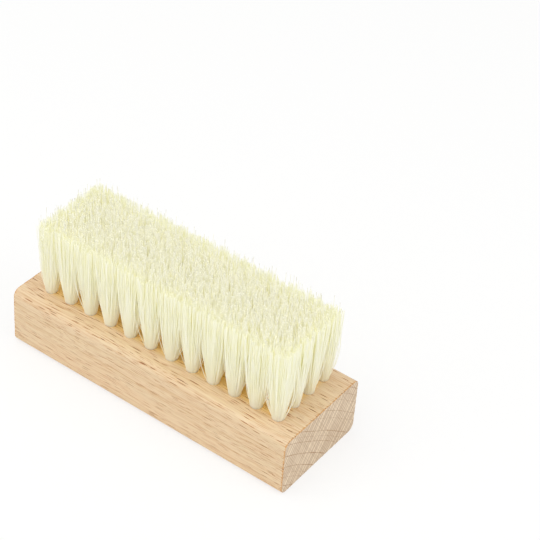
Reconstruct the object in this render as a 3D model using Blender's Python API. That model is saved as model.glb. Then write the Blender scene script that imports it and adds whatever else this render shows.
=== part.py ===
# Shoe brush: a beech block with four rows of nylon tufts. Each tuft is folded over a flat
# piece of wire in a blind hole, and the wire's ends bite into the wood and hold it there.
#
# Metres, +Z up. The brush lies on its back with the bristles up. The origin is the centre
# of the block's back, X runs along the block and -Y is the front long side.

import math
import random

import bmesh
import bpy
from mathutils import Matrix, Vector

# Beech block: the four long edges are rounded and the sawn ends are left square.
BLOCK_LENGTH = 0.120
BLOCK_WIDTH = 0.0426
BLOCK_HEIGHT = 0.0235
LONG_EDGE_RADIUS = 0.0027
LONG_EDGE_SEGMENTS = 6

# Holes: a grid between margins that run from the block's faces to the nearest hole centres.
HOLE_COLUMNS = 12
HOLE_ROWS = 4
END_MARGIN = 0.0099
FRONT_MARGIN = 0.00925
BACK_MARGIN = 0.00765
HOLE_DIAMETER = 0.0045
HOLE_DEPTH = 0.011
HOLE_SIDES = 16

# Anchors: flat wire on edge across the hole, with the filaments folded under it.
ANCHOR_WIRE_WIDTH = 0.0022
ANCHOR_WIRE_THICKNESS = 0.0004
ANCHOR_BITE = 0.0004
FOLD_THICKNESS = 0.0015

# Tufts: lengths are measured up from the wood.
BRISTLE_LENGTH = 0.0295
BRISTLE_SCATTER = 0.0022
FOOT_LENGTH = 0.0008
SPREAD_LENGTH = 0.0135
TIP_LENGTH = 0.003
STRAND_GAP = 0.0005
TIP_SEED = 48

# Clearance that keeps a root and an anchor off the wood around them.
SEAT_CLEARANCE = 0.0003

# Strands of one tuft, in thirds of its cell from the tuft's own axis. They go round it in
# the order in which they leave the root, and the outer ones stand as far from the next
# tuft's strands as from their own.
STRAND_PLACES = (
    (1.5, 0), (2, 2), (0, 2), (-2, 2),
    (-1.5, 0), (-2, -2), (0, -2), (2, -2),
)
STRANDS = len(STRAND_PLACES)
THIRDS = 3

# A strand keeps this share of its thickness at the shoulder where its tip begins.
SHOULDER_SHARE = 0.8

# Edges sharper than this stay creased on pieces that are shaded smooth.
CREASE_ANGLE = math.radians(35)

# Colours are linear.
BEECH_COLOUR = (0.80, 0.58, 0.35, 1)
BEECH_ROUGHNESS = 0.6
NYLON_COLOUR = (0.86, 0.84, 0.60, 1)
NYLON_ROUGHNESS = 0.4

COLUMN_PITCH = (BLOCK_LENGTH - 2 * END_MARGIN) / (HOLE_COLUMNS - 1)
ROW_PITCH = (BLOCK_WIDTH - FRONT_MARGIN - BACK_MARGIN) / (HOLE_ROWS - 1)
HOLE_RADIUS = HOLE_DIAMETER / 2
HOLE_FLOOR = BLOCK_HEIGHT - HOLE_DEPTH

# A hole's flats lie inside its radius, and the root clears the flats.
ROOT_RADIUS = HOLE_RADIUS * math.cos(math.pi / HOLE_SIDES) - SEAT_CLEARANCE
ANCHOR_REACH = HOLE_RADIUS + ANCHOR_BITE


def clear_scene():
    for item in list(bpy.data.objects):
        bpy.data.objects.remove(item)


def make_material(name, colour, roughness):
    material = bpy.data.materials.new(name)
    material.use_nodes = True
    shader = material.node_tree.nodes["Principled BSDF"]
    shader.inputs["Base Color"].default_value = colour
    shader.inputs["Roughness"].default_value = roughness
    shader.inputs["Metallic"].default_value = 0
    return material


def add_object(name, bm, material, parent, location=(0, 0, 0)):
    bmesh.ops.recalc_face_normals(bm, faces=bm.faces)
    mesh = bpy.data.meshes.new(name)
    bm.to_mesh(mesh)
    bm.free()
    mesh.shade_smooth()
    mesh.set_sharp_from_angle(angle=CREASE_ANGLE)
    if material:
        mesh.materials.append(material)
    item = bpy.data.objects.new(name, mesh)
    item.location = location
    item.parent = parent
    bpy.context.scene.collection.objects.link(item)
    return item


def add_box(bm, low, high):
    low, high = Vector(low), Vector(high)
    place = Matrix.Translation((low + high) / 2) @ Matrix.Diagonal(high - low).to_4x4()
    bmesh.ops.create_cube(bm, size=1, matrix=place)


def hole_centres():
    # Row 1 is the front row and column 1 is at the -X end.
    for row in range(HOLE_ROWS):
        y = -BLOCK_WIDTH / 2 + FRONT_MARGIN + row * ROW_PITCH
        for column in range(HOLE_COLUMNS):
            x = -BLOCK_LENGTH / 2 + END_MARGIN + column * COLUMN_PITCH
            yield row + 1, column + 1, x, y


def hide_cutter(cutter):
    cutter.hide_render = True
    cutter.display_type = "WIRE"
    return cutter


def add_hole_cutter(parent):
    # Each drill runs as far out of the wood as it is wide.
    bm = bmesh.new()
    length = HOLE_DEPTH + HOLE_DIAMETER
    for row, column, x, y in hole_centres():
        place = Matrix.Translation((x, y, HOLE_FLOOR + length / 2))
        turn = Matrix.Rotation(math.pi / HOLE_SIDES, 4, "Z")
        bmesh.ops.create_cone(
            bm, cap_ends=True, segments=HOLE_SIDES, depth=length,
            radius1=HOLE_RADIUS, radius2=HOLE_RADIUS, matrix=place @ turn)
    return hide_cutter(add_object("hole_cutter", bm, None, parent))


def add_slot_cutter(parent):
    bm = bmesh.new()
    reach = ANCHOR_REACH + SEAT_CLEARANCE
    half = ANCHOR_WIRE_THICKNESS / 2 + SEAT_CLEARANCE
    low = HOLE_FLOOR + FOLD_THICKNESS
    high = low + ANCHOR_WIRE_WIDTH + 2 * SEAT_CLEARANCE
    for row, column, x, y in hole_centres():
        add_box(bm, (x - reach, y - half, low), (x + reach, y + half, high))
    return hide_cutter(add_object("slot_cutter", bm, None, parent))


def cut(item, cutter):
    modifier = item.modifiers.new(cutter.name, "BOOLEAN")
    modifier.operation = "DIFFERENCE"
    modifier.solver = "EXACT"
    modifier.object = cutter


def add_block(material, parent):
    bm = bmesh.new()
    half_length, half_width = BLOCK_LENGTH / 2, BLOCK_WIDTH / 2
    add_box(bm, (-half_length, -half_width, 0), (half_length, half_width, BLOCK_HEIGHT))
    long_edges = [
        edge for edge in bm.edges
        if abs(edge.verts[0].co.x - edge.verts[1].co.x) > half_length]
    bmesh.ops.bevel(
        bm, geom=long_edges, affect="EDGES", offset_type="OFFSET",
        offset=LONG_EDGE_RADIUS, segments=LONG_EDGE_SEGMENTS, profile=0.5)
    block = add_object("block", bm, material, parent)
    cut(block, add_hole_cutter(parent))
    cut(block, add_slot_cutter(parent))


def polar(radius, angle, height=0):
    return Vector((radius * math.cos(angle), radius * math.sin(angle), height))


def join_rings(bm, lower, upper):
    walls = []
    for side in range(len(lower)):
        after = (side + 1) % len(lower)
        walls.append(bm.faces.new((lower[side], lower[after], upper[after], upper[side])))
    return walls


def strand_heading(strand):
    return 2 * math.pi * strand / STRANDS


def strand_section(bm, strand, centre, radius):
    # A triangle with one corner towards the tuft's axis and its far side outwards.
    turns = (math.pi, -math.pi / 3, math.pi / 3)
    return [bm.verts.new(centre + polar(radius, strand_heading(strand) + turn)) for turn in turns]


def add_strand(bm, strand, base, place, radius, chooser):
    # The strand keeps to a circle round its place: as it gets thinner it may wander inside
    # the circle, and it ends in a point. The spread stays under the shoulder of the tip.
    def wander(reach, height):
        return place + polar(reach * chooser.random(), 2 * math.pi * chooser.random(), height)

    length = BRISTLE_LENGTH + BRISTLE_SCATTER * chooser.uniform(-1, 1)
    shoulder = length - TIP_LENGTH
    spread = min(SPREAD_LENGTH, (FOOT_LENGTH + shoulder) / 2)
    shoulder_radius = radius * SHOULDER_SHARE
    middle = strand_section(bm, strand, wander(0, spread), radius)
    upper = strand_section(
        bm, strand, wander(radius - shoulder_radius, shoulder), shoulder_radius)
    tip = bm.verts.new(wander(radius, length))
    join_rings(bm, base, middle)
    join_rings(bm, middle, upper)
    for side in range(len(upper)):
        bm.faces.new((upper[side], upper[(side + 1) % len(upper)], tip))


def add_strands(bm, hub, rim, chooser):
    # Each strand grows from one sector of the root and goes out to its own part of the
    # tuft's cell in the same order, so that no two of them cross.
    third_x, third_y = COLUMN_PITCH / 2 / THIRDS, ROW_PITCH / 2 / THIRDS
    radius = min(third_x, third_y) - STRAND_GAP / 2
    for strand, (x, y) in enumerate(STRAND_PLACES):
        base = (hub, rim[strand], rim[(strand + 1) % STRANDS])
        add_strand(bm, strand, base, Vector((x * third_x, y * third_y, 0)), radius, chooser)


def push_out_anchor_end(bm, face, root_floor):
    # The wire leaves the flat of the root that faces along X: the flat gets a frame with
    # the wire's section inside it, and the section is drawn out to the wire's end.
    half = ANCHOR_WIRE_THICKNESS / 2
    low = root_floor + FOLD_THICKNESS
    middle = face.calc_center_median().z
    bmesh.ops.inset_individual(bm, faces=[face], thickness=half)
    for vert in face.verts:
        vert.co.y = math.copysign(half, vert.co.y)
        vert.co.z = low if vert.co.z < middle else low + ANCHOR_WIRE_WIDTH
    end = bmesh.ops.extrude_discrete_faces(bm, faces=[face])["faces"][0]
    for vert in end.verts:
        vert.co.x = math.copysign(ANCHOR_REACH, vert.co.x)


def add_tuft(row, column, x, y, material, parent):
    # The tuft's own origin is on the wood, at the centre of its hole. The root's corners
    # lie between the strands, so it has a flat towards each of them.
    bm = bmesh.new()
    chooser = random.Random(TIP_SEED + HOLE_COLUMNS * row + column)
    root_floor = SEAT_CLEARANCE - HOLE_DEPTH
    corners = [strand_heading(strand - 0.5) for strand in range(STRANDS)]
    floor = [bm.verts.new(polar(ROOT_RADIUS, corner, root_floor)) for corner in corners]
    rim = [bm.verts.new(polar(ROOT_RADIUS, corner, FOOT_LENGTH)) for corner in corners]
    bm.faces.new(floor)
    walls = join_rings(bm, floor, rim)
    add_strands(bm, bm.verts.new((0, 0, FOOT_LENGTH)), rim, chooser)
    for wall in (walls[0], walls[STRANDS // 2]):
        push_out_anchor_end(bm, wall, root_floor)
    add_object(f"tuft_row{row}_col{column:02d}", bm, material, parent, (x, y, BLOCK_HEIGHT))


def main():
    clear_scene()
    brush = bpy.data.objects.new("shoe_brush", None)
    bpy.context.scene.collection.objects.link(brush)
    beech = make_material("beech", BEECH_COLOUR, BEECH_ROUGHNESS)
    nylon = make_material("nylon_filament", NYLON_COLOUR, NYLON_ROUGHNESS)
    add_block(beech, brush)
    for row, column, x, y in hole_centres():
        add_tuft(row, column, x, y, nylon, brush)


main()
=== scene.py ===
import math

import bmesh
import bpy
import numpy as np
from mathutils import Matrix, Vector


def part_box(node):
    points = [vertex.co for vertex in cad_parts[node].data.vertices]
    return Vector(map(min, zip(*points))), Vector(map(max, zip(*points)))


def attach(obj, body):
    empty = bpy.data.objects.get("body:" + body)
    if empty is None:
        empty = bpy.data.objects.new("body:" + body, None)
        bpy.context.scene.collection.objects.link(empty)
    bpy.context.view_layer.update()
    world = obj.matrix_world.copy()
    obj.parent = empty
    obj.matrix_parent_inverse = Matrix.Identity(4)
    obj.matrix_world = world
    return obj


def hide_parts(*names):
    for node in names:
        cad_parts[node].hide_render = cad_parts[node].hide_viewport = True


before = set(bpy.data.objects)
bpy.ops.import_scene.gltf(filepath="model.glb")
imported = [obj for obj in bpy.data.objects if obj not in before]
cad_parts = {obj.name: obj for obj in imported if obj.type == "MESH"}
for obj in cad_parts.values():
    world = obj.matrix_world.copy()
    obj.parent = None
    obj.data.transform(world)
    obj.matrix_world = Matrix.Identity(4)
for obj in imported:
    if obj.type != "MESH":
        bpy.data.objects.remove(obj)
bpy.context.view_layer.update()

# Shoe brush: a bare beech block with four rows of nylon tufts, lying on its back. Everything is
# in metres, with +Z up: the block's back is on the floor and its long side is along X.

mm = 0.001
blockLow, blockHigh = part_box("block")
woodTop = blockHigh.z
tuftNodes = sorted(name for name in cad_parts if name.startswith("tuft_"))


# Small helpers

def linear(code):
    # an sRGB hex colour as the linear colour that a socket takes
    shades = [int(code[start:start + 2], 16) / 255 for start in (1, 3, 5)]
    return [s / 12.92 if s <= 0.04045 else ((s + 0.055) / 1.055) ** 2.4 for s in shades] + [1]


def addNode(tree, kind, settings=None, inputs=None):
    # each input, by its name or number, is a value, a hex colour, another node or one of
    # its outputs
    node = tree.nodes.new("ShaderNode" + kind)
    for name, value in (settings or {}).items():
        setattr(node, name, value)
    for name, value in (inputs or {}).items():
        if isinstance(name, str):
            name = next(n for n, s in enumerate(node.inputs) if s.enabled and s.name == name)
        if isinstance(value, bpy.types.Node):
            value = next(s for s in value.outputs if s.enabled)
        if isinstance(value, bpy.types.NodeSocket):
            tree.links.new(value, node.inputs[name])
        else:
            node.inputs[name].default_value = linear(value) if isinstance(value, str) else value
    return node


def newMaterial(name):
    material = bpy.data.materials.new(name)
    material.use_nodes = True
    material.node_tree.nodes.clear()
    return material, material.node_tree


def paint(tree, colour, layers):
    # Colours laid over each other. A layer is a mask, the mask's values where the layer begins
    # and where it is at its fullest, how full that is, and the layer's colour.
    for mask, begins, full, most, hue in layers:
        share = addNode(tree, "MapRange", {"interpolation_type": "SMOOTHSTEP"}, {
            "Value": mask, "From Min": begins, "From Max": full, "To Max": most})
        colour = addNode(tree, "Mix", {"data_type": "RGBA"}, {
            "Factor": share, "A": colour, "B": hue})
    return colour


def addObject(name, mesh, materials):
    item = bpy.data.objects.new(name, mesh)
    for material in materials:
        mesh.materials.append(material)
    bpy.context.scene.collection.objects.link(item)
    return item


def footOf(name):
    # The tuft stands on the middle of its root, which is what lies below the wood's top
    spots = np.array([v.co[:2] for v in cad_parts[name].data.vertices if v.co.z < woodTop])
    return (spots.min(axis=0) + spots.max(axis=0)) / 2


# Camera: at the photograph's place and turn, which were worked out from the block's corners

cameraSettings = {
    "place": (0.2897, -0.3877, 0.4493),
    "turn": (50.708, -3.801, 36.524),    # degrees about X, Y and Z
    "lens": 123.1,                       # mm, on a 36 mm square sensor
}


def addCamera():
    data = bpy.data.cameras.new("camera")
    data.lens = cameraSettings["lens"]
    data.sensor_width = 36
    data.clip_start = 0.01
    data.clip_end = 20
    camera = bpy.data.objects.new("camera", data)
    camera.location = cameraSettings["place"]
    camera.rotation_euler = [math.radians(angle) for angle in cameraSettings["turn"]]
    bpy.context.scene.collection.objects.link(camera)
    bpy.context.scene.camera = camera


# Light, world and floor: a flat white floor under soft boxes

studio = {
    "worldStrength": 0.695,
    "floorSize": 6.0,
    # name, place, width, watts: each box looks at the middle of the brush
    "boxes": (
        ("top_box", (-0.10, -0.25, 0.95), 0.80, 3.3),
        ("front_box", (-0.55, -0.80, 0.45), 0.70, 1.15),
        ("right_box", (0.80, 0.10, 0.62), 0.60, 1.45),
    ),
}


def addWorld():
    world = bpy.data.worlds.new("white_room")
    bpy.context.scene.world = world
    world.use_nodes = True
    tree = world.node_tree
    tree.nodes.clear()
    # what is seen directly, in gloss or through a clear thing is plain white
    path = addNode(tree, "LightPath")
    seen = addNode(tree, "Math", {"operation": "MAXIMUM"}, {
        0: path.outputs["Is Camera Ray"], 1: path.outputs["Is Glossy Ray"]})
    seen = addNode(tree, "Math", {"operation": "MAXIMUM"}, {
        0: seen, 1: path.outputs["Is Transmission Ray"]})
    strength = addNode(tree, "MapRange", None, {
        "Value": seen, "To Min": studio["worldStrength"], "To Max": 1.0})
    light = addNode(tree, "Background", None, {"Color": (1, 1, 1, 1), "Strength": strength})
    addNode(tree, "OutputWorld", None, {"Surface": light})


def addBoxes():
    middle = Vector((0, 0, woodTop))
    for name, place, width, watts in studio["boxes"]:
        data = bpy.data.lights.new(name, "AREA")
        data.shape = "SQUARE"
        data.size = width
        data.energy = watts
        box = bpy.data.objects.new(name, data)
        box.location = place
        box.rotation_euler = (middle - box.location).to_track_quat("-Z", "Y").to_euler()
        bpy.context.scene.collection.objects.link(box)


# White studio paper: pressed from fibres, matt, with a mottle that is hardly to be seen

paperFinish = {
    "white": "#FAFAF8",
    "mottle": 3.0,           # mm across one patch
    "darkest": 0.985,        # share of the white that the darkest patch keeps
    "roughness": 0.9,
    "bumpDepth": 0.1,        # mm
    "bumpStrength": 0.05,
    "lift": 0.7,             # how far towards plain white the camera sees it, shadow and all
}


def paperMaterial():
    look = paperFinish
    material, tree = newMaterial("white_paper")
    coords = addNode(tree, "TexCoord")
    fibres = addNode(tree, "TexNoise", None, {
        "Vector": coords.outputs["Object"], "Scale": 1 / (look["mottle"] * mm), "Detail": 2.0})
    tone = addNode(tree, "MapRange", None, {"Value": fibres, "To Min": look["darkest"]})
    colour = addNode(tree, "Mix", {"data_type": "RGBA"}, {
        "Factor": tone, "A": "#000000", "B": look["white"]})
    bump = addNode(tree, "Bump", None, {
        "Height": fibres, "Strength": look["bumpStrength"], "Distance": look["bumpDepth"] * mm})
    paper = addNode(tree, "BsdfPrincipled", None, {
        "Base Color": colour, "Roughness": look["roughness"], "Normal": bump})
    path = addNode(tree, "LightPath")
    lift = addNode(tree, "Math", {"operation": "MULTIPLY"}, {
        0: path.outputs["Is Camera Ray"], 1: look["lift"]})
    glow = addNode(tree, "Emission", None, {"Color": (1, 1, 1, 1), "Strength": 1.0})
    mixed = addNode(tree, "MixShader", None, {0: lift, 1: paper, 2: glow})
    addNode(tree, "OutputMaterial", None, {"Surface": mixed})
    return material


def addFloor():
    half = studio["floorSize"] / 2
    mesh = bpy.data.meshes.new("floor")
    corners = [(-half, -half, 0), (half, -half, 0), (half, half, 0), (-half, half, 0)]
    mesh.from_pydata(corners, [], [(0, 1, 2, 3)])
    floor = addObject("floor", mesh, [paperMaterial()])


# Beech: crosscut with a saw, planed and sanded, and left bare. It is pale and warm and nearly
# matt. The rays show as short brown flecks along the grain on the long faces, and on the sawn
# ends as close straight lines that cross the growth rings.

beechFinish = {
    "earlywood": "#E6CDAA",
    "latewood": "#DFC49C",
    "blush": "#E8C19A",
    "streakLight": "#EED8B4",
    "streakDark": "#CFA87A",
    "fleckHalo": "#D08E48",
    "fleckRed": "#964600",
    "fleckBrown": "#6C3000",
    "faintFleck": "#A65A18",
    "ringLine": "#B98A5F",
    "endLight": "#E9D5BA",
    "endDark": "#AF9072",
    "endRing": "#A87E5A",
    "sawnEdge": "#D2995C",
    "sawnNotch": "#8C5329",
    # painted light: the golden light that would come through the tufts onto the wood between them
    "tuftLightPaint": "#FFDC96",
    "pithDistance": 240.0,   # mm from the pith to the middle of the block
    "radialTilt": 38.0,      # degrees from upright to the line that runs out from the pith
    "wander": (38.0, 3.4),   # mm along which the fibres wander, and how far
    "ringSpacing": 3.4,      # mm
    "ringUneven": (7.0, 6.0),    # mm over which the rings' widths change, and how much
    "ringLineWidth": 0.26,   # mm
    # mm along the grain, round the rings and out from the pith: how far apart they are, and
    # half the size of the largest
    "strongFlecks": ((4.8, 0.72, 0.74), (2.6, 0.15, 0.18)),
    "faintFlecks": ((7.5, 0.32, 0.34), (3.8, 0.095, 0.105)),
    "smallestFleck": 0.55,   # share of the largest one's size
    "palestFleck": 0.50,     # share of the darkest one's depth of colour
    "haloSize": 1.7,         # times the fleck's own size
    "haloDepth": 0.40,       # share of the fleck's own depth of colour
    "sideFleckDepth": 0.60,  # share of it that is left on the long sides
    # mm outwards of the outermost holes' centres, from where the painted light from the tufts
    # begins to where it is at its fullest
    "tuftLightReach": (3.5, -1.5),
    "endRaySpacing": 1.45,   # mm
    "sawMarkSpacing": 1.3,   # mm
    "sawMarkTilt": 55.0,     # degrees
    "sawMarkDepth": 2.5,     # times the rays' depth
    "tornLength": (0.15, 0.80),  # mm before the end, at the least and at the most
    # the size of one patch of each noise, in mm the same three ways, and its detail
    "noises": {
        "streak": ((26.0, 0.34, 0.42), 3.0),
        "band": ((30.0, 5.0, 5.0), 2.0),
        "rayBreak": ((40.0, 2.0, 8.0), 1.0),
        "ringBreak": ((40.0, 3.0, 1.0), 2.0),
        "endMottle": ((40.0, 4.0, 9.0), 2.0),
        "sawnNotch": ((60.0, 0.45, 0.45), 1.0),
    },
    "roughness": (0.52, 0.66),
    "gloss": 0.25,
    "bumpDepth": 0.06,       # mm
    "bumpStrength": 0.25,
    "endFacing": (0.80, 0.95),   # how squarely along X a sawn end faces
}


def beechGrain(tree, place):
    # Place in mm along the grain, round the rings and out from the pith
    look = beechFinish
    tilt = math.radians(look["radialTilt"])
    distance = look["pithDistance"]
    fromPith = addNode(tree, "VectorMath", {"operation": "SUBTRACT"}, {
        0: place, 1: (0, -distance * math.sin(tilt), -distance * math.cos(tilt))})
    length, width = look["wander"]
    wander = addNode(tree, "TexNoise", None, {"Vector": place, "Scale": 1 / length, "Detail": 1.0})
    wander = addNode(tree, "VectorMath", {"operation": "MULTIPLY_ADD"}, {
        0: wander.outputs["Color"], 1: (0, width, width), 2: fromPith})
    axes = addNode(tree, "SeparateXYZ", None, {0: wander})
    section = addNode(tree, "CombineXYZ", None, {
        "Y": axes.outputs["Y"], "Z": axes.outputs["Z"]})
    radius = addNode(tree, "VectorMath", {"operation": "LENGTH"}, {0: section})
    turn = addNode(tree, "Math", {"operation": "ARCTAN2"}, {
        0: axes.outputs["Y"], 1: axes.outputs["Z"]})
    arc = addNode(tree, "Math", {"operation": "MULTIPLY"}, {0: turn, 1: distance})
    return addNode(tree, "CombineXYZ", None, {"X": axes, "Y": arc, "Z": radius})


def growthRings(tree, radius):
    # Rings of uneven width: how far each point is through its ring, and the thin dark line
    # that a ring ends in, at its darkest over the last third
    look = beechFinish
    length, amount = look["ringUneven"]
    uneven = addNode(tree, "TexNoise", {"noise_dimensions": "1D"}, {
        "W": radius, "Scale": 1 / length, "Detail": 1.0})
    uneven = addNode(tree, "Math", {"operation": "MULTIPLY_ADD"}, {0: uneven, 1: amount, 2: radius})
    ring = addNode(tree, "Math", {"operation": "DIVIDE"}, {0: uneven, 1: look["ringSpacing"]})
    ring = addNode(tree, "Math", {"operation": "FRACT"}, {0: ring})
    width = look["ringLineWidth"] / look["ringSpacing"]
    line = addNode(tree, "MapRange", {"interpolation_type": "SMOOTHSTEP"}, {
        "Value": ring, "From Min": 1 - width, "From Max": 1 - width / 3})
    return ring, line


def rayFlecks(tree, grain, pattern):
    # One thin spindle along the grain at each point of a loose 3-D pattern. Each has its own
    # size and depth of colour, a wider halo, and a number that picks its hue.
    look = beechFinish
    pitch, half = pattern
    spot = addNode(tree, "VectorMath", {"operation": "DIVIDE"}, {0: grain, 1: pitch})
    cells = addNode(tree, "TexVoronoi", None, {"Vector": spot, "Scale": 1.0})
    point = addNode(tree, "VectorMath", {"operation": "MULTIPLY"}, {
        0: cells.outputs["Position"], 1: pitch})
    offset = addNode(tree, "VectorMath", {"operation": "SUBTRACT"}, {0: grain, 1: point})
    offset = addNode(tree, "VectorMath", {"operation": "DIVIDE"}, {0: offset, 1: half})
    away = addNode(tree, "VectorMath", {"operation": "LENGTH"}, {0: offset})
    chance = addNode(tree, "SeparateColor", None, {0: cells.outputs["Color"]})
    size = addNode(tree, "MapRange", None, {
        "Value": chance.outputs["Green"], "To Min": look["smallestFleck"]})
    away = addNode(tree, "Math", {"operation": "DIVIDE"}, {0: away, 1: size})
    depth = addNode(tree, "MapRange", None, {
        "Value": chance.outputs["Red"], "To Min": look["palestFleck"]})
    core = addNode(tree, "MapRange", {"interpolation_type": "SMOOTHSTEP"}, {
        "Value": away, "From Min": 1.0, "From Max": 0.7, "To Max": depth})
    halo = addNode(tree, "MapRange", {"interpolation_type": "SMOOTHSTEP"}, {
        "Value": away, "From Min": look["haloSize"], "From Max": 0.9, "To Max": depth})
    return core, halo, chance.outputs["Blue"]


def insideTufts(tree, place, reaches):
    # 0 outside the field of tufts and 1 inside it. It changes between two distances, in mm
    # outwards of the outermost holes' centres.
    outer, inner = reaches
    feet = np.array([footOf(name) for name in tuftNodes]) / mm
    middle = (feet.max(axis=0) + feet.min(axis=0)) / 2
    half = (feet.max(axis=0) - feet.min(axis=0)) / 2
    offset = addNode(tree, "VectorMath", {"operation": "SUBTRACT"}, {0: place, 1: (*middle, 0)})
    offset = addNode(tree, "VectorMath", {"operation": "ABSOLUTE"}, {0: offset})
    offset = addNode(tree, "SeparateXYZ", None, {0: offset})
    inside = 1.0
    for axis, reach in zip("XY", half):
        inside = addNode(tree, "MapRange", {"interpolation_type": "SMOOTHSTEP"}, {
            "Value": offset.outputs[axis], "From Min": reach + outer, "From Max": reach + inner,
            "To Max": inside})
    return inside


def tornFibres(tree, place, noises):
    # The saw leaves torn, browner fibres just before each end: how far off the end is, as a
    # share of the torn length there, and their colour
    look = beechFinish
    side = addNode(tree, "SeparateXYZ", None, {0: place})
    side = addNode(tree, "Math", {"operation": "ABSOLUTE"}, {0: side})
    fromEnd = addNode(tree, "Math", {"operation": "SUBTRACT"}, {0: blockHigh.x / mm, 1: side})
    shortest, longest = look["tornLength"]
    reach = addNode(tree, "MapRange", {"interpolation_type": "SMOOTHSTEP"}, {
        "Value": noises["streak"], "From Min": 0.35, "From Max": 0.65,
        "To Min": shortest, "To Max": longest})
    torn = addNode(tree, "Math", {"operation": "DIVIDE"}, {0: fromEnd, 1: reach})
    colour = paint(tree, look["sawnEdge"], [
        (noises["sawnNotch"], 0.56, 0.66, 1.0, look["sawnNotch"])])
    return torn, colour


def longFaceColour(tree, place, grain, normal, noises, rings):
    look = beechFinish
    ring, ringLine = rings
    strong, halo, redness = rayFlecks(tree, grain, look["strongFlecks"])
    faint, _, _ = rayFlecks(tree, grain, look["faintFlecks"])
    torn, tornColour = tornFibres(tree, place, noises)

    # The rays are cut more squarely on the broad faces, and show darker there
    upright = addNode(tree, "Math", {"operation": "ABSOLUTE"}, {0: normal.outputs["Z"]})
    fleckDepth = addNode(tree, "MapRange", None, {
        "Value": upright, "From Min": 0.2, "From Max": 0.8, "To Min": look["sideFleckDepth"]})
    haloDepth = addNode(tree, "Math", {"operation": "MULTIPLY"}, {
        0: fleckDepth, 1: look["haloDepth"]})
    fleckColour = paint(tree, look["fleckBrown"], [(redness, 0.0, 1.0, 1.0, look["fleckRed"])])

    # Painted light: the wood between the tufts is painted golden for the light that would come
    # through them. The filaments here are opaque, so that light is painted into the wood's colour.
    between = insideTufts(tree, place, look["tuftLightReach"])
    between = addNode(tree, "Math", {"operation": "MULTIPLY", "use_clamp": True}, {
        0: between, 1: normal.outputs["Z"]})
    return paint(tree, look["earlywood"], [
        (ring, 0.35, 1.0, 0.4, look["latewood"]),
        (noises["band"], 0.40, 0.68, 0.25, look["blush"]),
        (noises["streak"], 0.50, 0.66, 0.44, look["streakDark"]),
        (noises["streak"], 0.50, 0.32, 0.50, look["streakLight"]),
        (ringLine, 0.0, 1.0, 0.25, look["ringLine"]),
        (between, 0.0, 1.0, 0.95, look["tuftLightPaint"]),
        (faint, 0.0, 1.0, 0.60, look["faintFleck"]),
        (halo, 0.0, 1.0, haloDepth, look["fleckHalo"]),
        (strong, 0.0, 1.0, fleckDepth, fleckColour),
        (torn, 1.0, 0.5, 0.80, tornColour)])


def sawnEnd(tree, place, arc, noises, ringLine):
    # Rays as close lines that run out from the pith, rings as thin arcs, and the faint marks
    # that the saw left across both: their colour, and how high the wood stands
    look = beechFinish
    arc = addNode(tree, "Math", {"operation": "DIVIDE"}, {0: arc, 1: look["endRaySpacing"]})
    ray = addNode(tree, "TexVoronoi", {"voronoi_dimensions": "1D"}, {
        "W": arc, "Scale": 1.0, "Randomness": 0.6})
    rayDepth = addNode(tree, "MapRange", None, {
        "Value": noises["rayBreak"], "From Min": 0.3, "From Max": 0.6, "To Min": 0.5})
    ray = addNode(tree, "MapRange", {"interpolation_type": "SMOOTHSTEP"}, {
        "Value": ray, "From Min": 0.26, "From Max": 0.10, "To Max": rayDepth})
    ringDepth = addNode(tree, "MapRange", None, {
        "Value": noises["ringBreak"], "From Min": 0.3, "From Max": 0.6,
        "To Min": 0.3, "To Max": 0.8})
    sawWay = math.radians(look["sawMarkTilt"])
    sawMark = addNode(tree, "VectorMath", {"operation": "DOT_PRODUCT"}, {
        0: place, 1: (0, math.sin(sawWay), math.cos(sawWay))})
    sawMark = addNode(tree, "TexNoise", {"noise_dimensions": "1D"}, {
        "W": sawMark, "Scale": 2 / look["sawMarkSpacing"], "Detail": 1.0})
    colour = paint(tree, look["endLight"], [
        (noises["endMottle"], 0.35, 0.65, 0.22, look["endDark"]),
        (ray, 0.0, 1.0, 0.70, look["endDark"]),
        (sawMark, 0.45, 0.65, 0.25, look["endDark"]),
        (ringLine, 0.0, 1.0, ringDepth, look["endRing"])])
    height = addNode(tree, "Math", {"operation": "MULTIPLY_ADD"}, {
        0: sawMark, 1: -look["sawMarkDepth"], 2: 1.0})
    height = addNode(tree, "Math", {"operation": "SUBTRACT"}, {0: height, 1: ray})
    return colour, height


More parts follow.
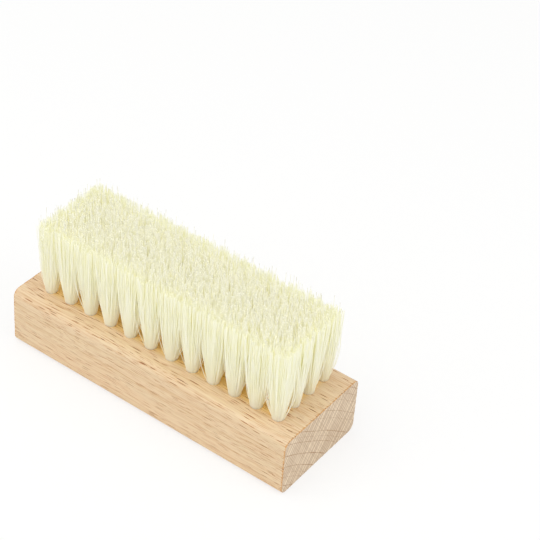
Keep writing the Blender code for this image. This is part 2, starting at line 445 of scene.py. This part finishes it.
def beechMaterial():
    look = beechFinish
    material, tree = newMaterial("beech")
    coords = addNode(tree, "TexCoord")
    place = addNode(tree, "VectorMath", {"operation": "SCALE"}, {
        0: coords.outputs["Object"], "Scale": 1 / mm})
    normal = addNode(tree, "SeparateXYZ", None, {0: coords.outputs["Normal"]})
    grain = beechGrain(tree, place)
    axes = addNode(tree, "SeparateXYZ", None, {0: grain})
    rings = growthRings(tree, axes.outputs["Z"])
    noises = {}
    for name, (pitch, detail) in look["noises"].items():
        spot = addNode(tree, "VectorMath", {"operation": "DIVIDE"}, {0: grain, 1: pitch})
        noises[name] = addNode(tree, "TexNoise", None, {
            "Vector": spot, "Scale": 1.0, "Detail": detail})

    longFace = longFaceColour(tree, place, grain, normal, noises, rings)
    endFace, endHeight = sawnEnd(tree, place, axes.outputs["Y"], noises, rings[1])
    facing = addNode(tree, "Math", {"operation": "ABSOLUTE"}, {0: normal})
    oblique, square = look["endFacing"]
    isEnd = addNode(tree, "MapRange", None, {
        "Value": facing, "From Min": oblique, "From Max": square})
    colour = addNode(tree, "Mix", {"data_type": "RGBA"}, {
        "Factor": isEnd, "A": longFace, "B": endFace})
    lowRough, highRough = look["roughness"]
    rough = addNode(tree, "MapRange", None, {
        "Value": noises["streak"], "From Min": 0.3, "From Max": 0.7,
        "To Min": lowRough, "To Max": highRough})
    height = addNode(tree, "Mix", None, {
        "Factor": isEnd, "A": noises["streak"], "B": endHeight})
    bump = addNode(tree, "Bump", None, {
        "Height": height, "Strength": look["bumpStrength"], "Distance": look["bumpDepth"] * mm})
    wood = addNode(tree, "BsdfPrincipled", None, {
        "Base Color": colour, "Roughness": rough, "Normal": bump,
        "Specular IOR Level": look["gloss"]})
    addNode(tree, "OutputMaterial", None, {"Surface": wood})
    return material


# Block: rounded along, square at the sawn ends, where the edge is a little ragged

blockShape = {
    "edgeRadius": 2.7 * mm,
    "edgeSteps": 10,
    "creaseAngle": 30.0,         # degrees between faces, above which their edge stays sharp
    "rimStep": 0.42 * mm,        # spacing of the points round the sawn edge
    "raggedLength": (0.05, 0.65),    # mm that the saw has broken off along the grain
    "raggedDepth": (0.02, 0.24),     # mm that it has broken off the end's rim
    "holeRadius": 2.25 * mm,
    "holeDepth": 11.0 * mm,
    "holeSides": 32,
    "mouth": 0.15 * mm,          # the drill's lead-in round each hole
    "seed": 7,
}


def roundedOutline(low, high, radius, steps, spacing):
    # Points round the block's section, in the YZ plane, anticlockwise, with an arc at each corner
    def onArc(centre, degrees):
        angle = math.radians(degrees)
        return centre[0] + radius * math.cos(angle), centre[1] + radius * math.sin(angle)

    points = []
    centres = [
        ((high.y - radius, high.z - radius), 0), ((low.y + radius, high.z - radius), 90),
        ((low.y + radius, low.z + radius), 180), ((high.y - radius, low.z + radius), 270)]
    for corner, (centre, start) in enumerate(centres):
        for step in range(steps + 1):
            points.append(onArc(centre, start + 90 * step / steps))
        following, _ = centres[(corner + 1) % 4]
        last, target = points[-1], onArc(following, start + 90)
        count = round(math.dist(last, target) / spacing)
        for step in range(1, count):
            share = step / count
            points.append((
                last[0] + (target[0] - last[0]) * share, last[1] + (target[1] - last[1]) * share))
    return points


def raggedEnd(bm, outline, side, rng):
    # Two rings at one end: the long faces' own rim, and the end face's rim just inside it
    middle = Vector((0, (blockLow.z + blockHigh.z) / 2))
    count = len(outline)
    rough = np.convolve(rng.random(count + 2), (0.25, 0.5, 0.25), "valid")
    fine = rng.random(count)
    outer, inner = [], []
    for index, (y, z) in enumerate(outline):
        shortest, longest = blockShape["raggedLength"]
        back = (shortest + (longest - shortest) * rough[index] * fine[index]) * mm
        shallow, deep = blockShape["raggedDepth"]
        inset = (shallow + (deep - shallow) * fine[index]) * mm
        towards = (middle - Vector((y, z))).normalized() * inset
        outer.append(bm.verts.new((side * (blockHigh.x - back), y, z)))
        inner.append(bm.verts.new((side * blockHigh.x, y + towards.x, z + towards.y)))
    return outer, inner


def bridge(bm, first, second):
    for index in range(len(first)):
        after = (index + 1) % len(first)
        bm.faces.new((first[index], first[after], second[after], second[index]))


def holeCutter():
    # One drill for each tuft, a little wider at its mouth
    bm = bmesh.new()
    shape = blockShape
    for name in tuftNodes:
        x, y = footOf(name)
        length = shape["holeDepth"]
        drill = Matrix.Translation((x, y, woodTop - length / 2 + shape["mouth"]))
        bmesh.ops.create_cone(
            bm, cap_ends=True, segments=shape["holeSides"], depth=length + 2 * shape["mouth"],
            radius1=shape["holeRadius"], radius2=shape["holeRadius"], matrix=drill)
    mesh = bpy.data.meshes.new("hole_cutter")
    bm.to_mesh(mesh)
    bm.free()
    return addObject("hole_cutter", mesh, [])


def addBlock(material):
    shape = blockShape
    rng = np.random.default_rng(shape["seed"])
    outline = roundedOutline(
        blockLow, blockHigh, shape["edgeRadius"], shape["edgeSteps"], shape["rimStep"])
    bm = bmesh.new()
    leftOuter, leftInner = raggedEnd(bm, outline, -1, rng)
    rightOuter, rightInner = raggedEnd(bm, outline, 1, rng)
    bridge(bm, leftInner, leftOuter)
    bridge(bm, leftOuter, rightOuter)
    bridge(bm, rightOuter, rightInner)
    bm.faces.new(leftInner)
    bm.faces.new(rightInner)
    bmesh.ops.recalc_face_normals(bm, faces=bm.faces)
    mesh = bpy.data.meshes.new("beech_block")
    bm.to_mesh(mesh)
    bm.free()
    block = addObject("beech_block", mesh, [material])

    cutter = holeCutter()
    drill = block.modifiers.new("drill", "BOOLEAN")
    drill.operation = "DIFFERENCE"
    drill.solver = "EXACT"
    drill.object = cutter
    evaluated = block.evaluated_get(bpy.context.evaluated_depsgraph_get())
    drilled = bpy.data.meshes.new_from_object(evaluated)
    block.modifiers.clear()
    block.data = drilled
    drilled.name = "beech_block"
    bpy.data.objects.remove(cutter)
    drilled.shade_smooth()
    drilled.set_sharp_from_angle(angle=math.radians(shape["creaseAngle"]))
    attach(block, "root")
    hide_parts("block")
    return block


# Nylon filament: drawn, crimped a little, cut to length and set in bundles. One filament is
# milky and almost white. Light goes from one to the next many times before it comes out of a
# bundle, so the bundle is ivory, and yellower where it is deep. Near the wood, round the field of
# tufts and at the cut ends, shade is also painted into the filaments' colour.

nylonFinish = {
    "deep": "#FFFFFA",
    # painted shade: the filaments round the field of tufts, where fewer bounces tint the light, are
    # painted darker and yellower than the same nylon inside
    "outer": "#FEFEF3",          # round the field of tufts, where light takes up less colour
    # mm outwards of the outermost holes' centres, from where the painted shade is at its fullest to
    # where it ends
    "outerShadeReach": (1.8, -0.8),
    # painted shade: the filaments are painted yellower towards the wood, where the gaps between the
    # tufts are deep
    "root": "#FFFEF0",
    "rootShadeLevels": (17.0, 2.0),   # mm above the wood, where it begins and where it is at its fullest
    "dull": "#FFFAE2",
    "dullShare": 0.12,           # how much of it the dullest filament takes
    # painted shade: the cut ends are painted greyer for the light that would go into the
    # translucent tips and not come back
    "cut": "#E1DFCC",            # light goes in at the cut ends, and they are greyer
    "cutShadeLevels": (30.6, 32.0),
    # mm across and along one patch of the unevenness that drawing leaves. It is really finer,
    # and is drawn this coarse so that it shows.
    "drawn": (0.3, 2.0),
    "roughness": (0.30, 0.48),
    "ior": 1.53,
    "gloss": 0.03,
    "bumpDepth": 0.02,           # mm
    "bumpStrength": 0.1,
}


def nylonMaterial():
    look = nylonFinish
    material, tree = newMaterial("nylon_filament")
    coords = addNode(tree, "TexCoord")
    place = addNode(tree, "VectorMath", {"operation": "SCALE"}, {
        0: coords.outputs["Object"], "Scale": 1 / mm})
    axes = addNode(tree, "SeparateXYZ", None, {0: place})
    height = addNode(tree, "Math", {"operation": "SUBTRACT"}, {
        0: axes.outputs["Z"], 1: woodTop / mm})
    inside = insideTufts(tree, place, look["outerShadeReach"])
    strand = addNode(tree, "NewGeometry")
    colour = paint(tree, look["deep"], [
        # painted shade, darker and yellower round the field of tufts
        (inside, 1.0, 0.0, 1.0, look["outer"]),
        # painted shade, yellower towards the wood
        (height, *look["rootShadeLevels"], 1.0, look["root"]),
        (strand.outputs["Random Per Island"], 0.0, 1.0, look["dullShare"], look["dull"]),
        # painted shade, greyer at the cut ends
        (height, *look["cutShadeLevels"], 1.0, look["cut"])])
    across, along = look["drawn"]
    drawn = addNode(tree, "VectorMath", {"operation": "DIVIDE"}, {
        0: place, 1: (across, across, along)})
    uneven = addNode(tree, "TexNoise", None, {"Vector": drawn, "Scale": 1.0, "Detail": 1.0})
    lowRough, highRough = look["roughness"]
    rough = addNode(tree, "MapRange", None, {
        "Value": uneven, "To Min": lowRough, "To Max": highRough})
    bump = addNode(tree, "Bump", None, {
        "Height": uneven, "Strength": look["bumpStrength"], "Distance": look["bumpDepth"] * mm})
    filament = addNode(tree, "BsdfPrincipled", None, {
        "Base Color": colour, "Roughness": rough, "Normal": bump,
        "IOR": look["ior"], "Specular IOR Level": look["gloss"]})
    addNode(tree, "OutputMaterial", None, {"Surface": filament})
    return material


# Galvanised steel wire: rolled flat and cut from the coil, dull grey zinc with a fine spangle

steelFinish = {
    "dark": "#9EA2A4",
    "light": "#C3C6C7",
    "spangle": 0.4,          # mm across one crystal
    "roughness": (0.35, 0.55),
    "bumpDepth": 0.01,       # mm
    "bumpStrength": 0.1,
}


def steelMaterial():
    look = steelFinish
    material, tree = newMaterial("galvanised_steel")
    coords = addNode(tree, "TexCoord")
    spangle = addNode(tree, "TexVoronoi", None, {
        "Vector": coords.outputs["Object"], "Scale": 1 / (look["spangle"] * mm)})
    tone = addNode(tree, "SeparateColor", None, {0: spangle.outputs["Color"]})
    colour = addNode(tree, "Mix", {"data_type": "RGBA"}, {
        "Factor": tone, "A": look["dark"], "B": look["light"]})
    lowRough, highRough = look["roughness"]
    rough = addNode(tree, "MapRange", None, {
        "Value": tone, "To Min": lowRough, "To Max": highRough})
    bump = addNode(tree, "Bump", None, {
        "Height": tone, "Strength": look["bumpStrength"], "Distance": look["bumpDepth"] * mm})
    wire = addNode(tree, "BsdfPrincipled", None, {
        "Base Color": colour, "Metallic": 1.0, "Roughness": rough, "Normal": bump})
    addNode(tree, "OutputMaterial", None, {"Surface": wire})
    return material


# Tufts: each filament is one strand that comes up out of the hole on one side of the anchor,
# and goes down, round under the anchor and up again on the other side. All lengths are in mm.

tuftShape = {
    "filament": 0.20,          # diameter
    "spacing": 0.215,          # between neighbours in the hole
    "footScatter": 0.012,
    "holeRadius": 2.25,
    "clearance": 0.02,         # between the outermost filaments and the wall of the hole
    "sides": 4,
    "tipTaper": 0.85,
    "length": 29.5,            # above the wood
    "lengthSpread": 0.22,
    "clumpSpread": 0.44,
    "shortest": 3.5,           # no filament is further below the length, or above it, than this
    "longest": 3.6,
    "reach": (4.75, 4.55),     # how far the outer strands stand out at the top, along X and Y
    "freeReach": 3.95,         # the same on a side with no neighbour
    "freeFacing": 0.05,        # cosine of the turn from a side, above which a strand is on it
    "flare": 1.8,              # how soon they stand out: 1 is at an even rate
    "squareness": 5.5,         # 2 spreads to an ellipse, more towards the corners
    "jitter": 0.25,
    "clumpJitter": 0.22,
    "jitterPower": 1.4,        # 1 brings it in at an even rate, more towards the tip
    "strayShare": 0.10,
    "strayJitter": 1.3,
    "strayLength": 2.8,
    "bowShare": 0.035,         # share of the outer filaments that bow outwards
    "bowFrom": 0.7,            # share of the hole's radius outside which they do
    "bow": 1.8,
    "bowRate": 1.15,           # the bow ends at the length divided by this
    "clumps": 70,
    "clumpPull": 0.48,
    "pullPower": 1.2,
    "pullBegins": (0.25, 0.65),    # shares of the length, for inner and for outer filaments
    "pullEnds": 0.95,
    "outerFrom": (0.6, 0.9),   # shares of the hole's radius between which inner becomes outer
    "wave": 0.06,
    "waveTurn": 5.0,           # radians over the length
    "bend": 0.4,               # below the wood, where the strands part for the anchor
    "anchorHalf": (2.65, 0.20),     # along X, across
    "anchorLevels": (-9.2, -7.0),
    "anchorEdge": 0.08,        # how much of the wire's edges is taken off
    "foldDepth": 1.36,
    "foldTurns": (50, 130),    # degrees round the fold, where it has its rings
    "seed": 480,
}

# Heights of the rings above the wood, as shares of a strand's length
ringShares = np.array([0.04, 0.14, 0.28, 0.46, 0.68, 0.88, 1.0])


def filamentFeet():
    # Close-packed places on one side of the anchor. The other leg of each stands opposite.
    shape = tuftShape
    step = shape["spacing"]
    rowStep = step * math.sqrt(3) / 2
    limit = shape["holeRadius"] - shape["filament"] / 2 - shape["clearance"]
    reach = int(limit / step) + 1
    feet = []
    for row in range(int(limit / rowStep) + 1):
        y = (row + 0.5) * rowStep
        for column in range(-reach, reach + 1):
            x = (column + 0.5 * (row % 2)) * step
            if math.hypot(x, y) <= limit:
                feet.append((x, y))
    return np.array(feet), limit


def legPaths(feet, limit, free, rng):
    # Paths of all the legs above the wood: an array of leg, ring and x, y, z
    shape = tuftShape
    legs = len(feet)
    length = shape["length"]
    outward = np.hypot(feet[:, 0], feet[:, 1]) / limit
    heading = np.arctan2(feet[:, 1], feet[:, 0])
    power = shape["squareness"]
    ways = np.stack([np.cos(heading), np.sin(heading)], 1)
    onFree = np.array(free) * ways > shape["freeFacing"]
    reaches = np.where(onFree, shape["freeReach"], shape["reach"])
    reach = (np.abs(ways / reaches) ** power).sum(axis=1) ** (-1 / power)
    top = ways * (outward * reach)[:, None]

    # Tips gather in small clumps
    centres = top[rng.choice(legs, shape["clumps"], replace=False)]
    nearest = np.argmin(np.linalg.norm(top[:, None] - centres[None], axis=2), axis=1)
    clumpLength = rng.normal(0, shape["clumpSpread"], shape["clumps"])
    stray = rng.random(legs) < shape["strayShare"]
    lengths = length + clumpLength[nearest] + rng.normal(0, shape["lengthSpread"], legs)
    lengths += stray * rng.uniform(0, shape["strayLength"], legs)
    lengths = np.clip(lengths, length - shape["shortest"], length + shape["longest"])
    jitter = rng.normal(0, 1, (legs, 2)) * np.where(
        stray, shape["strayJitter"], shape["jitter"])[:, None]
    jitter += rng.normal(0, shape["clumpJitter"], (shape["clumps"], 2))[nearest]
    bowed = (rng.random(legs) < shape["bowShare"]) & (outward > shape["bowFrom"])
    bow = ways * (bowed * shape["bow"])[:, None]
    wavePhase = rng.uniform(0, 2 * np.pi, legs)
    waveTurn = rng.uniform(0, 2 * np.pi, legs)
    waveWay = np.stack([np.cos(waveTurn), np.sin(waveTurn)], 1) * shape["wave"]

    rise = ringShares[None] * lengths[:, None]
    level = np.clip(rise / length, 0, 1)[..., None]
    spread = 1 - (1 - level) ** shape["flare"]
    flat = feet[:, None] * (1 - spread) + top[:, None] * spread
    begins = np.interp(outward, shape["outerFrom"], shape["pullBegins"])[:, None, None]
    pull = np.clip((level - begins) / (shape["pullEnds"] - begins), 0, 1) ** shape["pullPower"]
    flat += (centres[nearest] - top)[:, None] * pull * shape["clumpPull"]
    flat += jitter[:, None] * level ** shape["jitterPower"]
    flat += bow[:, None] * np.sin(np.pi * np.clip(level * shape["bowRate"], 0, 1))
    flat += waveWay[:, None] * level * np.sin(
        wavePhase[:, None, None] + shape["waveTurn"] * level)
    return np.concatenate([flat, rise[..., None]], axis=2)


def filamentPaths(free, rng):
    # Whole filaments from tip to tip, as an array of filament, ring and x, y, z
    shape = tuftShape
    feet, limit = filamentFeet()
    feet = feet + rng.normal(0, shape["footScatter"], feet.shape)
    other = feet * (1, -1)
    count = len(feet)
    legs = legPaths(np.concatenate([feet, other]), limit, free, rng)
    lowest = shape["spacing"] * math.sqrt(3) / 4
    clear = shape["anchorHalf"][1] + shape["filament"] / 2
    aside = clear + (feet[:, 1] - lowest) * (limit - clear) / (limit - lowest)
    bottom, top = shape["anchorLevels"]

    def ringAt(y, z):
        return np.stack([feet[:, 0], y, np.broadcast_to(z, count)], 1)[:, None]

    down = [legs[:count, ::-1], ringAt(feet[:, 1], -shape["bend"]),
            ringAt(aside, top), ringAt(aside, bottom)]
    under = []
    for angle in np.radians(shape["foldTurns"]):
        under.append(ringAt(
            aside * math.cos(angle),
            bottom - aside / limit * shape["foldDepth"] * math.sin(angle)))
    up = [ringAt(-aside, bottom), ringAt(-aside, top),
          ringAt(-feet[:, 1], -shape["bend"]), legs[count:]]
    return np.concatenate(down + under + up, axis=1)


def strandMesh(paths):
    # A tube round every path. Each ring is turned about X alone, so a tube never twists.
    shape = tuftShape
    count, rings, _ = paths.shape
    sides = shape["sides"]
    ahead = np.gradient(paths, axis=1)
    ahead /= np.linalg.norm(ahead, axis=2, keepdims=True)
    outwards = np.cross(ahead, (1.0, 0.0, 0.0))
    outwards /= np.linalg.norm(outwards, axis=2, keepdims=True)
    sideways = np.cross(outwards, ahead)
    radius = np.full(rings, shape["filament"] / 2)
    radius[[0, -1]] *= shape["tipTaper"]
    radius[[1, -2]] *= 0.5 + shape["tipTaper"] / 2
    turns = np.arange(sides) * 2 * np.pi / sides
    circle = (np.cos(turns)[:, None, None, None] * sideways
              + np.sin(turns)[:, None, None, None] * outwards)
    points = paths + circle * radius[:, None]
    points = points.transpose(1, 2, 0, 3).reshape(-1, 3) * mm
    first = (np.arange(count) * rings * sides)[:, None, None]
    row = (np.arange(rings - 1) * sides)[None, :, None]
    side = np.arange(sides)[None, None]
    after = (side + 1) % sides
    walls = np.stack([
        first + row + side, first + row + after,
        first + row + sides + after, first + row + sides + side], 3).reshape(-1, 4)
    starts = (np.arange(count) * rings * sides)[:, None] + np.arange(sides)[::-1]
    ends = (np.arange(count) * rings * sides)[:, None] + (rings - 1) * sides + np.arange(sides)
    return points, walls.tolist() + starts.tolist() + ends.tolist()


def bakeMap(count, rings, anchor):
    # The square of the map that the colours are baked to, cut into a grid with a cell for each
    # filament and one for the anchor: the filament's wall unrolled, its two cut ends above it
    sides = tuftShape["sides"]
    across = math.ceil(math.sqrt(count + 1))
    cells = np.stack([np.arange(count + 1) % across, np.arange(count + 1) // across], 1)
    margin, wallHeight, endSize = 0.06, 0.80, 0.05
    endPlaces = (0.25, 0.92), (0.75, 0.92)
    anchorGrid, anchorFaceSize = 4, 0.4
    u = (np.arange(sides)[:, None] + (0, 1, 1, 0)) / sides
    v = (np.arange(rings - 1)[:, None] + (0, 0, 1, 1)) / (rings - 1)
    wall = np.stack(np.broadcast_arrays(u[None], v[:, None] * wallHeight), 3)

    def polygon(corners, size):
        turns = np.arange(corners) * 2 * np.pi / corners
        return np.stack([np.cos(turns), np.sin(turns)], 1) * size

    def placed(shape):
        inside = margin + shape.reshape(1, -1, 2) * (1 - 2 * margin)
        return ((cells[:count, None] + inside) / across).reshape(-1, 2)

    parts = [placed(wall)] + [placed(polygon(sides, endSize) + place) for place in endPlaces]
    for index, face in enumerate(anchor):
        middle = (index % anchorGrid + 0.5, index // anchorGrid + 0.5)
        corners = middle + polygon(len(face), anchorFaceSize)
        parts.append((cells[count] + corners / anchorGrid) / across)
    return np.concatenate(parts)


def anchorFaces(first):
    # A flat wire with its edges taken off, as an eight-cornered section drawn along X
    halfLength, halfThick = tuftShape["anchorHalf"]
    bottom, top = tuftShape["anchorLevels"]
    off = tuftShape["anchorEdge"]
    section = [
        (-halfThick + off, bottom), (halfThick - off, bottom), (halfThick, bottom + off),
        (halfThick, top - off), (halfThick - off, top), (-halfThick + off, top),
        (-halfThick, top - off), (-halfThick, bottom + off)]
    points = [(x, y, z) for x in (-halfLength, halfLength) for y, z in section]
    count = len(section)
    faces = [[first + count - 1 - corner for corner in range(count)],
             [first + count + corner for corner in range(count)]]
    for corner in range(count):
        after = (corner + 1) % count
        faces.append([first + corner, first + after, first + count + after, first + count + corner])
    return np.array(points) * mm, faces


def freeSides(x, y):
    # -1 or 1 along X and along Y where the tuft has no neighbour that way, or else 0
    places = np.array([footOf(name) for name in tuftNodes])
    near = 1 * mm
    return [
        (value > places[:, axis].max() - near) * 1 - (value < places[:, axis].min() + near) * 1
        for axis, value in enumerate((x, y))]


def addTuft(node, index, nylon, steel):
    rng = np.random.default_rng(tuftShape["seed"] + index)
    x, y = footOf(node)
    paths = filamentPaths(freeSides(x, y), rng)
    points, faces = strandMesh(paths)
    anchorPoints, anchor = anchorFaces(len(points))
    name = node.replace("tuft", "bristles")
    mesh = bpy.data.meshes.new(name)
    place = np.concatenate([points, anchorPoints]) + (x, y, woodTop)
    mesh.from_pydata(place.tolist(), [], faces + anchor)
    layout = mesh.uv_layers.new(name="OFBake")
    layout.data.foreach_set("uv", bakeMap(len(paths), paths.shape[1], anchor).ravel())
    tuft = addObject(name, mesh, [nylon, steel])
    for face in mesh.polygons[len(faces):]:
        face.material_index = 1
    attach(tuft, "root")
    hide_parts(node)
    return tuft


addCamera()
addWorld()
addBoxes()
addFloor()
print("studio: camera, lights and floor")

block = addBlock(beechMaterial())
print(f"block: {len(block.data.polygons)} faces")

nylon = nylonMaterial()
steel = steelMaterial()
faceCount = 0
for index, node in enumerate(tuftNodes):
    faceCount += len(addTuft(node, index, nylon, steel).data.polygons)
print(f"tufts: {len(tuftNodes)} with {faceCount} faces")

scene = bpy.context.scene
scene.view_settings.view_transform = "Standard"
# light needs this many turns to find its way out of a bundle
scene.cycles.max_bounces = 64
scene.cycles.diffuse_bounces = 64
scene.cycles.glossy_bounces = 16
